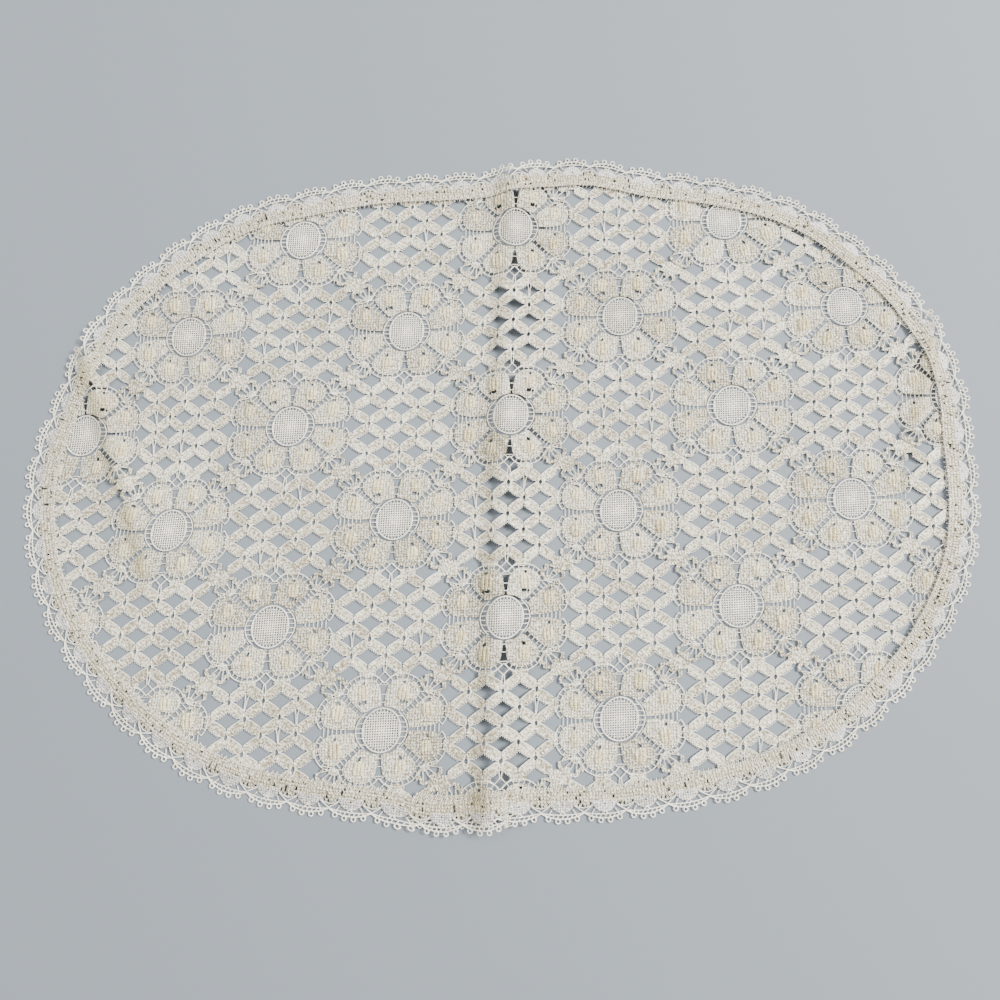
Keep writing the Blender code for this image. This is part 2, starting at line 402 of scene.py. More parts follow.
turn = add_node(lay, "ShaderNodeCombineXYZ", {"Z": spread_about(0.0, "Turn spread", 1.0)})
turned = add_node(lay, "FunctionNodeEulerToRotation", {"Euler": turn.outputs[0]})
copies = add_node(
    lay,
    "GeometryNodeInstanceOnPoints",
    {
        "Points": given.outputs["Geometry"],
        "Instance": motif.outputs["Geometry"],
        "Rotation": turned.outputs["Rotation"],
        "Scale": spread_about(1.0, "Size spread", 2.0),
    },
)
tint = add_node(lay, "FunctionNodeRandomValue", {"Seed": given.outputs["Seed"]}, data_type="FLOAT")
tinted = add_node(
    lay,
    "GeometryNodeStoreNamedAttribute",
    {"Geometry": copies.outputs["Instances"], "Value": tint.outputs[1]},
    {"Name": "tint"},
    data_type="FLOAT",
    domain="INSTANCE",
)
real = add_node(lay, "GeometryNodeRealizeInstances", {"Geometry": tinted.outputs["Geometry"]})
add_node(lay, "NodeGroupOutput", {"Geometry": real.outputs["Geometry"]})

# %% Sheets of cloth
SHEET = 0.42  # how thick the woven cloth of the lace is


def chart_weave(mesh, turn, across_scale):
    """Gives a motif its weave map: how far along and across its threads each corner lies."""
    layer = mesh.uv_layers.new(name="weave")
    points = mesh_points(mesh)
    index = np.empty(len(mesh.loops), int)
    mesh.loops.foreach_get("vertex_index", index)
    x, y = points[index, 0], points[index, 1]
    along = x * math.cos(turn) + y * math.sin(turn)
    across = (y * math.cos(turn) - x * math.sin(turn)) * across_scale
    layer.data.foreach_set("uv", np.stack([along, across], axis=1).ravel())
    return mesh


def sheet_motif(name, points, faces, turn=0.0, across_scale=1.0):
    """A motif of cloth: an open grid whose upper face is the given points, made solid downward."""
    mesh = bpy.data.meshes.new(name)
    mesh.from_pydata([tuple(point) for point in points], [], faces)
    sheet = in_scene(name, mesh)
    solid = sheet.modifiers.new("solid", "SOLIDIFY")
    solid.thickness = SHEET
    solid.offset = -1.0
    return chart_weave(modified_mesh(sheet), turn, across_scale)


# %% Threads
COTTON_THREAD = 0.2  # radius of a thread whose thickness attribute is 1


class Threads:
    """Collects chains of points, each with its thickness, and spins them into one mesh."""

    def __init__(self):
        self.points, self.edges, self.thickness = [], [], []

    def run(self, points, thickness=1.0, closed=False):
        first, count = len(self.points), len(points)
        self.points += [tuple(float(value) for value in point) for point in points]
        self.edges += [(first + k, first + k + 1) for k in range(count - 1)]
        if closed:
            self.edges.append((first + count - 1, first))
        self.thickness += list(thickness) if np.iterable(thickness) else [thickness] * count

    def mirrored(self, flip_x, flip_y):
        """Adds a copy of every chain so far, mirrored."""
        first = len(self.points)
        signs = (-1 if flip_x else 1, -1 if flip_y else 1, 1)
        self.points += [tuple(v * s for v, s in zip(point, signs)) for point in self.points[:first]]
        self.edges += [(a + first, b + first) for a, b in self.edges]
        self.thickness += self.thickness

    def swap_sides(self):
        """Mirrors every chain left to right."""
        self.points = [(-x, y, z) for x, y, z in self.points]

    def spun(self, name, sides=4, radius=COTTON_THREAD):
        mesh = bpy.data.meshes.new(name)
        mesh.from_pydata(self.points, self.edges, [])
        mesh.attributes.new("thickness", "FLOAT", "POINT").data.foreach_set("value", self.thickness)
        return through_tree(name, mesh, spin, {"Thread radius": radius, "Sides": sides})


# %% Copies of a motif, and finished pieces
def laid_copies(name, motif_mesh, places, seed, turn=0.0, size=0.0):
    """One mesh of copies of a motif, one at each flat place."""
    holder = in_scene(name + "_motif", motif_mesh)
    dots = bpy.data.meshes.new(name + "_places")
    dots.from_pydata([(x, y, 0.0) for x, y in places], [], [])
    settings = {"Motif": holder, "Turn spread": turn, "Size spread": size, "Seed": seed}
    result = through_tree(name, dots, lay, settings)
    bpy.data.objects.remove(holder)
    return result


def joined(name, meshes):
    """Several flat meshes as one. The first mesh takes the first material, the second the next."""
    work = bmesh.new()
    for number, group in enumerate(meshes):
        for mesh in group if isinstance(group, list) else [group]:
            mesh.polygons.foreach_set("material_index", [number] * len(mesh.polygons))
            work.from_mesh(mesh)
    result = bpy.data.meshes.new(name)
    work.to_mesh(result)
    work.free()
    return result


CRISP_EDGE = math.radians(48)  # edges that turn more than this, such as a sheet's rim, stay crisp


def finished(name, mesh, *materials, cloth):
    """The object that stays in the scene, at the origin, with its materials."""
    for material in materials:
        mesh.materials.append(material)
    mesh.shade_smooth()
    if cloth:
        mesh.set_sharp_from_angle(angle=CRISP_EDGE)
    mesh.calc_loop_triangles()
    print(f"{name}: {len(mesh.loop_triangles)} triangles")
    return in_scene(name, mesh)


# %% [markdown]
# ## Cotton
#
# All of it is cotton, seen from close by: matt, slightly fuzzy, white to ecru with age. The
# dense cloth shows a fine open weave, the raised spots are creamier because their yarn is soft and
# thick, the outlining thread is a smoother, whiter, harder twist, and the edging is a newer lace,
# whiter in its fans and creamier where it is stitched down. One function makes each cotton from its
# two hex colours, its thread spacing and how deep its weave is.

# %% Colours
def linear(hex_colour):
    """An sRGB hex colour as linear RGBA."""
    values = [int(hex_colour[k : k + 2], 16) / 255 for k in (1, 3, 5)]
    return tuple(v / 12.92 if v <= 0.04045 else ((v + 0.055) / 1.055) ** 2.4 for v in values) + (1.0,)


# %% Cotton from two tones and a weave
STAIN_AND_SHADE_COLOUR = "#968A5C"  # a yellow brown, for the real stain and for the painted shade by the folds and puckers
WAVE_UNIT = 0.314  # a wave texture of this scale repeats once a unit
GRAIN_MM = 1.0  # fluff and uneven yarn, drawn coarser than the real 0.2 mm so that it shows
AGEING_MM = 55.0  # how wide the patches are that have yellowed more or less
GRAIN_WEIGHT = 2.4
TONE_SPAN = (1.3, 2.2)  # sums of the weights below that give the dark and the light tone


def cotton(name, light, dark, thread_mm, depth_mm, roughness, chart=None):
    """Cotton cloth or yarn: two tones, mixed by thread, by copy and by ageing, and darker in the weave's
    crevices as painted shade, over a woven bump.
    """
    material = bpy.data.materials.new(name)
    material.use_nodes = True
    tree = material.node_tree
    shader = tree.nodes["Principled BSDF"]
    shader.inputs["Roughness"].default_value = roughness
    shader.inputs["Specular IOR Level"].default_value = 0.2
    shader.inputs["Sheen Weight"].default_value = 0.2
    shader.inputs["Sheen Roughness"].default_value = 0.5
    place = add_node(tree, "ShaderNodeTexCoord").outputs["Object"]
    source, scale = place, 1.0 / MM
    if chart:
        source, scale = add_node(tree, "ShaderNodeUVMap", uv_map=chart).outputs["UV"], 1.0
    waves = [
        add_node(
            tree,
            "ShaderNodeTexWave",
            {"Vector": source},
            {"Scale": scale * WAVE_UNIT / thread_mm, "Distortion": 4.0, "Detail": 2.0, "Detail Scale": 1.6},
            wave_type="BANDS",
            bands_direction=direction,
        ).outputs["Fac"]
        for direction in ("X", "Y")
    ]
    woven = add_node(tree, "ShaderNodeMath", {0: waves[0], 1: waves[1]}, operation="MULTIPLY").outputs[0]
    grain = add_node(
        tree, "ShaderNodeTexNoise", {"Vector": place}, {"Scale": 1.0 / (GRAIN_MM * MM), "Detail": 3.0}
    ).outputs["Fac"]
    age = add_node(
        tree, "ShaderNodeTexNoise", {"Vector": place}, {"Scale": 1.0 / (AGEING_MM * MM), "Detail": 4.0}
    ).outputs["Fac"]
    tint = add_node(tree, "ShaderNodeAttribute", attribute_name="tint").outputs["Fac"]
    tone = add_node(tree, "ShaderNodeMath", {0: grain}, {1: GRAIN_WEIGHT}, operation="MULTIPLY").outputs[0]
    # The weave's crevices darken the colour: painted shade, on top of the shading that the bump gives.
    for source, weight in ((woven, 0.8), (tint, 0.25), (age, 0.5)):
        tone = add_node(
            tree, "ShaderNodeMath", {0: source, 2: tone}, {1: weight}, operation="MULTIPLY_ADD"
        ).outputs[0]
    span = {"From Min": TONE_SPAN[0], "From Max": TONE_SPAN[1]}
    share = add_node(tree, "ShaderNodeMapRange", {"Value": tone}, span)
    colour = add_node(
        tree,
        "ShaderNodeMix",
        {0: share.outputs["Result"]},
        {6: linear(dark), 7: linear(light)},
        data_type="RGBA",
    )
    # How stained each point is, including the painted shade by the folds and puckers.
    stain_and_shade = add_node(tree, "ShaderNodeAttribute", attribute_name="stain_and_shade").outputs["Fac"]
    stained_and_shaded = add_node(
        tree,
        "ShaderNodeMix",
        {0: stain_and_shade, 6: colour.outputs[2]},
        {7: linear(STAIN_AND_SHADE_COLOUR)},
        data_type="RGBA",
    )
    tree.links.new(stained_and_shaded.outputs[2], shader.inputs["Base Color"])
    height = add_node(tree, "ShaderNodeMath", {0: grain, 2: woven}, {1: 0.9}, operation="MULTIPLY_ADD")
    bump = add_node(
        tree, "ShaderNodeBump", {"Height": height.outputs[0]}, {"Strength": 1.0, "Distance": depth_mm * MM}
    )
    tree.links.new(bump.outputs["Normal"], shader.inputs["Normal"])
    return material


# %% The five cottons
# A matt cloth of fine yarn: its weave, about 0.4 mm in the real one, is drawn at 1.15 mm to show.
WOVEN = cotton("woven lace cotton", "#FFFAE9", "#867D68", 1.15, 0.75, 0.9, chart="weave")
# Thick soft yarn that has yellowed a little more: smooth-looking, cream.
RAISED = cotton("soft raised cotton yarn", "#FFF6D6", "#B5A67C", 1.0, 0.4, 0.85)
# Hard twisted thread catches more light than the cloth and so looks whiter.
OUTLINE = cotton("hard twisted outline thread", "#FFFDF3", "#CDC5B4", 0.8, 0.1, 0.7)
# The edging's close cloth is a newer, bluer white.
FAN = cotton("edging lace cotton", "#FDFCF8", "#97958F", 1.0, 0.6, 0.9, chart="weave")
# Where it is stitched down the strip has yellowed, and it is crumpled and dotted with small holes.
FOOTING = cotton("footing lace cotton", "#FFF9E5", "#9C9178", 1.3, 0.8, 0.9, chart="weave")

# %% [markdown]
# ## The flower's petals
#
# Eight dense petals stand round each fine net centre: two at the back, two in front and two at each
# side. Only two shapes are charted, and mirroring gives the rest. Each is a polar grid inside a smooth
# outline, low at its rim and a little fuller inside, with a moat round the raised spot that sits on
# it and a small slot behind that spot, where the weft was parted. The two petals at the back have a
# wider slot in front of the spot as well.

# %% Smooth outlines
def smooth_loop(corners, count):
    """A closed Catmull-Rom curve through the corners, as evenly spaced points."""
    corners = np.array(corners, float)
    fine = []
    steps = np.linspace(0, 1, 12, endpoint=False)[:, None]
    for k in range(len(corners)):
        p0, p1, p2, p3 = (corners[(k + j - 1) % len(corners)] for j in range(4))
        bend = (2 * p0 - 5 * p1 + 4 * p2 - p3) * steps**2 + (3 * p1 - p0 - 3 * p2 + p3) * steps**3
        fine.append(0.5 * (2 * p1 + (p2 - p0) * steps + bend))
    fine = np.concatenate(fine)
    closed = np.concatenate([fine, fine[:1]])
    length = np.concatenate([[0], np.cumsum(np.linalg.norm(np.diff(closed, axis=0), axis=1))])
    at = np.linspace(0, length[-1], count, endpoint=False)
    return np.stack([np.interp(at, length, closed[:, axis]) for axis in (0, 1)], axis=1)


def offset_loop(loop, distance):
    """The loop moved outward by a distance. The loop runs anticlockwise."""
    way = np.roll(loop, -1, axis=0) - np.roll(loop, 1, axis=0)
    way /= np.linalg.norm(way, axis=1, keepdims=True)
    return loop + np.stack([way[:, 1], -way[:, 0]], axis=1) * distance


# Outlines in millimetres from the flower's centre, anticlockwise.
BACK_PETAL = (
    (0.35, 9.2), (4.0, 8.5), (7.5, 6.6), (11.4, 10.0), (14.3, 13.1), (14.5, 15.7),
    (12.5, 18.4), (9.0, 20.2), (5.4, 20.3), (2.7, 19.0), (1.1, 16.4), (0.6, 12.8),
)
SIDE_PETAL = (
    (10.4, 0.5), (14.5, 0.45), (18.5, 0.8), (22.0, 1.7), (24.0, 4.1), (24.4, 7.4), (23.0, 10.7),
    (20.4, 12.8), (17.5, 13.1), (15.4, 11.7), (12.1, 8.9), (8.7, 5.6), (9.7, 4.0), (10.3, 2.2),
)
BACK_SPOT, SIDE_SPOT = (8.0, 14.5), (17.8, 7.2)
PETAL_CORNERS, PETAL_RINGS = 26, 5
PETAL_MARGIN = 0.25  # the cloth stops this far inside its outline
SPOT_HALF = (1.9, 3.0)


def mirrored(points, faces, flip_x, flip_y=False):
    """A motif mirrored as asked, with its faces still looking up."""
    signs = (-1 if flip_x else 1, -1 if flip_y else 1, 1)
    points = [tuple(v * s for v, s in zip(point, signs)) for point in points]
    return points, [face[::-1] for face in faces] if flip_x != flip_y else faces


# %% One petal
PETAL_RIM, PETAL_CROWN = 0.5, 0.42  # height of the cloth at its rim, and how much higher it is inside
MOAT_AWAY, MOAT_WIDTH, MOAT_DEPTH = (1.3, 1.1), 0.22, 0.3  # the first is how far outside the spot it lies
SLOT_AWAY = 0.8  # from the spot's end to the middle of a slot


def petal_sheet(name, outline, spot, flip_x, flip_y):
    """One petal, mirrored as asked. All have a small slot behind the spot, back ones a wide one before it."""
    loop = offset_loop(smooth_loop(outline, PETAL_CORNERS), -PETAL_MARGIN)
    middle = np.array(spot)
    slots = [(-1 if flip_y else 1, (0.9, 0.6))]
    if outline is BACK_PETAL and not flip_y:
        slots.append((-1, (1.7, 1.0)))
    points = []
    for ring_number in range(PETAL_RINGS, 0, -1):
        share = ring_number / PETAL_RINGS
        for corner in loop:
            at = middle + (corner - middle) * share
            aside, ahead = (at - middle) / np.add(SPOT_HALF, MOAT_AWAY)
            moat = MOAT_DEPTH * math.exp(-(((np.hypot(aside, ahead) - 1) / MOAT_WIDTH) ** 2))
            height = PETAL_RIM + PETAL_CROWN * (1 - share**2) ** 0.6 - moat
            points.append((at[0], at[1], height))
    points.append((spot[0], spot[1], 0.9))
    faces = []
    for ring_number in range(PETAL_RINGS - 1):
        for k in range(PETAL_CORNERS):
            a, b = ring_number * PETAL_CORNERS + k, ring_number * PETAL_CORNERS + (k + 1) % PETAL_CORNERS
            face = (a, b, b + PETAL_CORNERS, a + PETAL_CORNERS)
            centre = np.mean([points[index][:2] for index in face], axis=0) - middle
            in_slot = any(
                np.hypot(centre[0] / half[0], (centre[1] - side * (SPOT_HALF[1] + SLOT_AWAY)) / half[1]) < 1
                for side, half in slots
            )
            if not in_slot:
                faces.append(face)
    inner = (PETAL_RINGS - 1) * PETAL_CORNERS
    faces += [(inner + k, inner + (k + 1) % PETAL_CORNERS, len(points) - 1) for k in range(PETAL_CORNERS)]
    return sheet_motif(name, *mirrored(points, faces, flip_x, flip_y))


# %% Where the flowers repeat
FLOWER_PITCH, ROW_RISE = 94.9, 42.7
MIRRORS = [(flip_x, flip_y) for flip_x in (False, True) for flip_y in (False, True)]


def within_reach(places, reach):
    """The places that lie no further than this outside the cut edge."""
    x, y = pulled(*np.array(places).T)
    return [place for place, over in zip(places, past_cut(x, y)) if over < reach]


def around(centres, offsets, reach):
    """The places that lie at these offsets from the centres, as far as the cloth reaches."""
    return within_reach([(cx + x, cy + y) for cx, cy in centres for x, y in offsets], reach)


def lattice(offset=(0.0, 0.0), reach=30.0):
    """Where a motif repeats in the flat lace, one place for each flower near the oval."""
    places = []
    for row in range(-5, 5):
        for column in range(-4, 5):
            x = FIRST_FLOWER[0] + (column + 0.5 * (row % 2)) * FLOWER_PITCH + offset[0]
            places.append((x, FIRST_FLOWER[1] + row * ROW_RISE + offset[1]))
    return within_reach(places, reach)


flowers = lattice(reach=26.0)
PETAL_REACH = 9.0  # a petal is left out when its spot would lie further outside than this
petal_meshes = []
for number, (flip_x, flip_y) in enumerate(MIRRORS):
    for outline, spot, kind in ((BACK_PETAL, BACK_SPOT, "end"), (SIDE_PETAL, SIDE_SPOT, "side")):
        offset = (-spot[0] if flip_x else spot[0], -spot[1] if flip_y else spot[1])
        near = [flower for flower in flowers if around([flower], [offset], PETAL_REACH)]
        motif_mesh = petal_sheet(f"{kind}_petal_{number}", outline, spot, flip_x, flip_y)
        petal_meshes.append(laid_copies(f"{kind}_petals_{number}", motif_mesh, near, seed=11 + number))
print(len(flowers), "flowers charted")

# %% [markdown]
# ## The mesh of woven bars
#
# Between the flowers the lace is a diamond mesh. Its bars are short woven tapes that run from node to
# node. Each swells toward the node above or below it, so the holes between them are wide, low
# diamonds, and a tiny upright hole is left in every node. A bar is a small grid between two side
# curves. Its upper side carries a smooth cord, and on its lower side the weft turns show as teeth.

# %% The bar
STEP_X, STEP_Y = 6.89, 6.71
BAR_LENGTH = math.hypot(STEP_X, STEP_Y)
BAR_TURN = math.atan2(STEP_Y, STEP_X)
BAR_STATIONS = (0.085, 0.15, 0.24, 0.36, 0.5, 0.64, 0.76, 0.85, 0.915)
SWELL_AT = (0.085, 0.11, 0.22, 0.3, 0.5, 0.7, 0.82, 0.88, 0.93)  # share of the length, on the upper side
SWELL = (0.68, 1.0, 2.02, 2.1, 1.84, 1.47, 1.16, 0.85, 0.55)
BAR_ACROSS = (-1.0, 0.0, 1.0)
BAR_WEAVE_SCALE = 0.2  # a tape shows its weft, which runs across it, and hardly any warp


def bar_side(station, upper):
    """How far the bar reaches to one side at this share of its length."""
    return np.interp(station if upper else 1 - station, SWELL_AT, SWELL)


def bar_point(station, sideways, height):
    """A point of a bar that runs up to the right through the origin."""
    along = (station - 0.5) * BAR_LENGTH
    x = along * math.cos(BAR_TURN) - sideways * math.sin(BAR_TURN)
    y = along * math.sin(BAR_TURN) + sideways * math.cos(BAR_TURN)
    return (x, y, height)


def grid_faces(rows, columns):
    return [
        (a, a + columns, a + columns + 1, a + 1)
        for row in range(rows - 1)
        for a in range(row * columns, row * columns + columns - 1)
    ]


def bar_sheet(name, flip):
    """One bar. The bar that falls to the right crosses a little above the one that rises."""
    points = []
    for station in BAR_STATIONS:
        for across in BAR_ACROSS:
            middle = (bar_side(station, True) - bar_side(station, False)) / 2
            sideways = across * bar_side(station, across > 0) if across else middle
            points.append(bar_point(station, sideways, (0.56 if flip else 0.5) + 0.2 * (1 - across**2)))
    faces = grid_faces(len(BAR_STATIONS), len(BAR_ACROSS))
    turn = -BAR_TURN if flip else BAR_TURN
    return sheet_motif(name, *mirrored(points, faces, flip), turn, BAR_WEAVE_SCALE)


NODE_ROWS = {0: (-2, 0, 2), 1: (-3, -1, 1, 3), 2: (-2, 0, 2), 3: (-3, -1, 1, 3)}
rising_bars = [
    ((column + 0.5) * STEP_X, (row + 0.5) * STEP_Y)
    for row in range(-3, 3)
    for column in NODE_ROWS[abs(row)]
    if column + 1 in NODE_ROWS[abs(row + 1)]
]
mesh_centres = lattice((FLOWER_PITCH / 2, 0.0), reach=32.0)
BAR_REACH = 5.0
rising_places = around(mesh_centres, rising_bars, BAR_REACH)
falling_places = around(mesh_centres, [(-x, y) for x, y in rising_bars], BAR_REACH)
JITTER = {"turn": 0.03, "size": 0.03}
bar_meshes = [
    laid_copies("rising_bars", bar_sheet("rising_bar", False), rising_places, seed=31, **JITTER),
    laid_copies("falling_bars", bar_sheet("falling_bar", True), falling_places, seed=37, **JITTER),
]
print(len(rising_places) + len(falling_places), "bars")

# %% The cords and teeth of a bar
TEETH = 6
TOOTH_REACH = 0.7


def bar_threads(flip):
    threads = Threads()
    smooth_side = (0.25, 0.42, 0.58, 0.72, 0.814, 0.88, 0.93)
    threads.run([bar_point(s, bar_side(s, True) - 0.04, 0.64) for s in smooth_side], 1.25)
    toothed = [bar_point(0.08, -0.4, 0.5), bar_point(0.13, -bar_side(0.13, False), 0.5)]
    for station in np.linspace(0.24, 0.76, 2 * TEETH):
        out = TOOTH_REACH if len(toothed) % 2 else 0.0
        toothed.append(bar_point(station, 0.08 - out - bar_side(station, False), 0.56))
    threads.run(toothed, 1.0)
    if flip:
        threads.swap_sides()
    return threads


bar_cord_meshes = [
    laid_copies("rising_cords", bar_threads(False).spun("rising_cord"), rising_places, seed=31, **JITTER),
    laid_copies("falling_cords", bar_threads(True).spun("falling_cord"), falling_places, seed=37, **JITTER),
]

# %% The two bowed threads of a node
NODE_BOW = 0.9


def node_threads():
    threads = Threads()
    for side in (-1, 1):
        bow = ((0.12, -2.5), (0.68, -1.25), (NODE_BOW, 0.0), (0.68, 1.25), (0.12, 2.5))
        threads.run([(side * x, y, 0.62) for x, y in bow], 0.95)
    return threads


node_offsets = [
    (column * STEP_X, row * STEP_Y)
    for row in range(-2, 3)
    for column in NODE_ROWS[abs(row)]
    if abs(column) < 3
]
node_places = around(mesh_centres, node_offsets, 2.0)
one_node = node_threads().spun("node")
node_mesh = laid_copies("nodes", one_node, node_places, seed=43, turn=0.12, size=0.15)
print(len(node_places), "nodes")

# %% Stray threads
STRAY_SHARE = 0.14  # holes that a pair of pulled threads crosses


def stray_threads():
    threads = Threads()
    for side in (-1, 1):
        threads.run([(side * 0.9, 3.3, 0.5), (side * 0.3, 0.4, 0.62), (side * 0.15, -3.2, 0.5)], 0.95)
    return threads


hole_offsets = [
    (column * STEP_X, row * STEP_Y)
    for row in range(-2, 3)
    for column in range(-2, 3)
    if (row + column) % 2
]
choice = np.random.default_rng(5)
holes = around(mesh_centres, hole_offsets, -6.0)
strays = [place for place in holes if choice.random() < STRAY_SHARE]
stray_mesh = laid_copies("strays", stray_threads().spun("stray"), strays, seed=47, turn=0.15, size=0.05)
print(len(holes), "holes,", len(strays), "crossed by stray threads")

# %% [markdown]
# ## Where the mesh meets the petals
#
# At the rim of a mesh its bars have no neighbour to run to, so they end in small lobes of cloth woven
# up against the cord of the nearest petal: two beside each side petal pair and two past each end pair.

# %% Lobes
LOBES = (((26.6, 6.7), (2.1, 3.2)), ((6.9, 22.4), (3.4, 1.7)))  # where beside a flower, and half its size


def lobe_sheet(name, half):
    turns = np.linspace(0, 2 * math.pi, 14, endpoint=False)
    points = []
    for share, height in ((1.0, 0.5), (0.6, 0.64)):
        points += [(half[0] * share * math.cos(t), half[1] * share * math.sin(t), height) for t in turns]
    points.append((0.0, 0.0, 0.7))
    count = len(turns)
    around = [(k, (k + 1) % count) for k in range(count)]
    faces = [(a, b, b + count, a + count) for a, b in around]
    faces += [(a + count, b + count, 2 * count) for a, b in around]
    return sheet_motif(name, points, faces)


lobe_meshes = []
for number, ((x, y), half) in enumerate(LOBES):
    near = around(flowers, [(sx * x, sy * y) for sx in (-1, 1) for sy in (-1, 1)], 4.0)
    print(len(near), "lobes of", half, "mm")
    one_lobe = lobe_sheet(f"lobe_{number}", half)
    lobe_meshes.append(laid_copies(f"lobes_{number}", one_lobe, near, seed=73 + number, **JITTER))

# %% [markdown]
# ## Raised spots
#
# On every petal a plump oblong spot stands up, worked always in the same direction whatever way the
# petal points: soft ribs of yarn side by side, nearly grown together, drawn in a little at the ends.

# %% Spots
SPOT_RIBS = 3
RIB_THICKNESS = (0.62, 0.95, 1.05, 1.08, 1.05, 0.95, 0.62)
RIB_RADIUS = 0.66


def spot_threads():
    threads = Threads()
    for rib in range(SPOT_RIBS):
        side = (rib - (SPOT_RIBS - 1) / 2) / ((SPOT_RIBS - 1) / 2)
        points = []
        for share in np.linspace(-1, 1, len(RIB_THICKNESS)):
            bow = 1 - share**2
            x = side * (0.95 + 0.5 * bow**0.5)
            crown = 0.3 * bow**0.6 * (1 - 0.4 * side**2)
            points.append((x, share * (SPOT_HALF[1] - 0.3 * abs(side)), 0.55 + crown))
        threads.run(points, RIB_THICKNESS)
    return threads


spot_offsets = [
    (x * (-1 if flip_x else 1), y * (-1 if flip_y else 1))
    for x, y in (BACK_SPOT, SIDE_SPOT)
    for flip_x, flip_y in MIRRORS
]
spot_places = around(flowers, spot_offsets, 4.0)
one_spot = spot_threads().spun("spot", sides=6, radius=RIB_RADIUS)
spots = laid_copies("spots", one_spot, spot_places, seed=53, turn=0.12, size=0.1)
print(len(spot_places), "spots")

# %% [markdown]
# ## Net centres
#
# The middle of each flower is a round of fine net, one thread over and one under, held in a ring of
# cord. The threads are real tubes that rise and dip at every crossing, and the middle is darned a
# little denser.

# %% Net
NET_HALF = (7.2, 7.3)
NET_PITCH = 0.98
NET_WAVE = 0.13


def net_threads():
    threads = Threads()
    for upright in (True, False):
        far, reach = (NET_HALF if upright else NET_HALF[::-1])
        lines = int(far / NET_PITCH)
        for line in range(-lines, lines + 1):
            at = line * NET_PITCH
            half = reach * math.sqrt(1 - (at / far) ** 2)
            inner = [k * NET_PITCH for k in range(-lines, lines + 1) if abs(k * NET_PITCH) < half - 0.25]
            points, thick = [], []
            for stop in (-half, *inner, half):
                over = 1 if ((round(stop / NET_PITCH) + line) % 2 == 0) == upright else -1
                x, y = (at, stop) if upright else (stop, at)
                points.append((x, y, 0.55 + NET_WAVE * over))
                thick.append(0.92 + 0.65 * math.exp(-(x * x + y * y) / 8.0))
            threads.run(points, thick)
    return threads


nets = laid_copies("nets", net_threads().spun("net"), flowers, seed=61)

# %% [markdown]
# ## Cords, ladders and joins of the flower
#
# A whiter cord rings the net and another runs round the outside of the petals. Between cloth and cord,
# and down the valleys between petals, short rungs leave ladders of little holes. Past the end of the
# valleys in front and behind, the cords cross to make one round hole and two three-sided ones before
# they join the mesh.

# %% Flower cords
RING_HALF = (7.45, 8.5)
OUTER_RING_HALF = (10.15, 8.9)
RING_THICKNESS = 1.6
OUTLINE_THICKNESS = 1.15
RUNG_THICKNESS = 0.85
LADDER_WIDTH = 1.4
RUNG_PITCH = 1.85


def ellipse_point(half, degrees, height=0.52):
    return (half[0] * math.cos(math.radians(degrees)), half[1] * math.sin(math.radians(degrees)), height)


def valley_rungs(threads, start, end, shares, half_start, half_end):
    """Rungs across a valley that runs from start to end and widens on the way."""
    start, end = np.array(start), np.array(end)
    along = (end - start) / np.linalg.norm(end - start)
    across = np.array([-along[1], along[0]])
    for share in shares:
        middle = start + (end - start) * share
        half = half_start + (half_end - half_start) * share
        threads.run([(*(middle - across * half), 0.5), (*(middle + across * half), 0.5)], RUNG_THICKNESS)


def outer_ladder(threads, outline, first_angle, last_angle, centre):
    """The cord outside a petal between two directions from its spot, and the rungs that hold it."""
    loop = smooth_loop(outline, 64)
    rim = offset_loop(loop, LADDER_WIDTH)
    inner = offset_loop(loop, -PETAL_MARGIN - 0.3)
    angles = np.degrees(np.arctan2(loop[:, 1] - centre[1], loop[:, 0] - centre[0])) % 360
    relative = (angles - first_angle) % 360
    span = (last_angle - first_angle) % 360
    chosen = sorted((k for k in range(64) if relative[k] <= span), key=lambda k: relative[k])
    threads.run([(*rim[k], 0.5) for k in chosen[::2]], OUTLINE_THICKNESS)
    last = None
    for k in chosen:
        if last is None or np.linalg.norm(loop[k] - loop[last]) >= RUNG_PITCH:
            threads.run([(*inner[k], 0.5), (*rim[k], 0.5)], RUNG_THICKNESS)
            last = k


